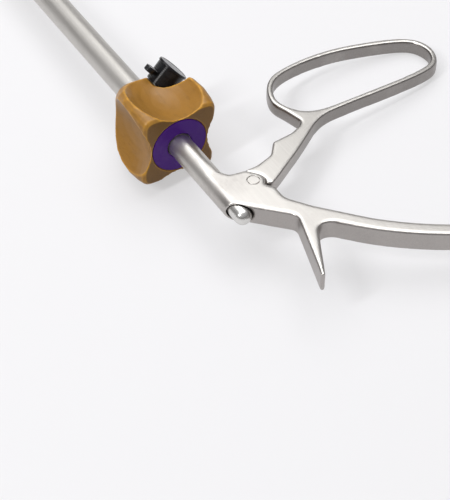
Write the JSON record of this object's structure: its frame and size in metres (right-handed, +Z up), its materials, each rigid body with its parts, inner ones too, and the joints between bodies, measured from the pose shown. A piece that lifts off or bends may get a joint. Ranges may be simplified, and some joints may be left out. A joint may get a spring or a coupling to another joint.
{
  "type": "laparoscopic clip applier",
  "caption": "Reusable endoscopic clip applier: ring handle, rotating knob with flush port, long steel tube and two clip jaws.",
  "frame": {"origin": "centre of the bounding box's underside, on the surface that the instrument lies on", "axes": "+X along the tube from the jaws to the handle, +Y to the side of the levers, +Z up"},
  "size_m": [0.4584, 0.1208, 0.034],
  "materials": {
    "brushed_steel": "satin ground stainless steel",
    "polished_steel": "polished stainless steel",
    "ochre_plastic": "satin ochre-brown plastic",
    "violet_plastic": "satin violet plastic",
    "black_rubber": "smooth black rubber",
    "washer_plastic": "natural PTFE"
  },
  "bodies": {
    "handle": {"handle_body": "brushed_steel", "pivot_pin": "polished_steel", "thrust_washer": "washer_plastic", "retaining_ring": "brushed_steel"},
    "lever": {"ring_lever": "brushed_steel"},
    "rotor": {"knob": "ochre_plastic", "knob_collar": "violet_plastic", "flush_port": "brushed_steel", "outer_tube": "brushed_steel", "rod_seal": "black_rubber", "jaw_housing": "brushed_steel", "guide_screw": "polished_steel", "thread_collar": "brushed_steel", "jaw_spring": "polished_steel", "jaw_pin": "polished_steel"},
    "rod": {"drive_rod": "brushed_steel", "rod_head": "polished_steel", "drive_blade": "brushed_steel", "drive_pin": "polished_steel"},
    "cap": {"port_cap": "black_rubber"},
    "left_jaw": {"jaw_left": "brushed_steel"},
    "right_jaw": {"jaw_right": "brushed_steel"}
  },
  "joints": [
    {"name": "lever_hinge", "type": "hinge", "parent": "handle", "child": "lever", "pos_m": [0.16122, -0.03363, 0.01723], "axis": [0.0383, -0.1403, -0.9894], "range_deg": [0, 20], "stiffness_Nm_per_rad": 0.4, "springref_deg": -8.59},
    {"name": "knob_spin", "type": "hinge", "parent": "handle", "child": "rotor", "pos_m": [0.12959, -0.04343, 0.0174], "axis": [0.9993, 0, 0.0387], "continuous": true},
    {"name": "rod_slide", "type": "slide", "parent": "rotor", "child": "rod", "axis": [-0.9993, 0, -0.0387], "range_m": [0, 0.00257], "deforming": ["jaw_spring"]},
    {"name": "left_jaw_hinge", "type": "hinge", "parent": "rotor", "child": "left_jaw", "pos_m": [-0.18507, -0.04343, 0.00522], "axis": [-0.0379, 0.2004, 0.979], "range_deg": [0, 7.5]},
    {"name": "right_jaw_hinge", "type": "hinge", "parent": "rotor", "child": "right_jaw", "pos_m": [-0.18507, -0.04343, 0.00522], "axis": [0.0379, -0.2004, -0.979], "range_deg": [0, 7.5]},
    {"name": "cap_pull", "type": "slide", "parent": "rotor", "child": "cap", "axis": [-0.0213, 0.8345, 0.5506], "range_m": [0, 0.01]}
  ],
  "couplings": [
    {"joint": "rod_slide", "follows": "lever_hinge", "m_per_rad": 0.0073711},
    {"joint": "left_jaw_hinge", "follows": "lever_hinge", "ratio": 0.375},
    {"joint": "right_jaw_hinge", "follows": "lever_hinge", "ratio": 0.375}
  ]
}
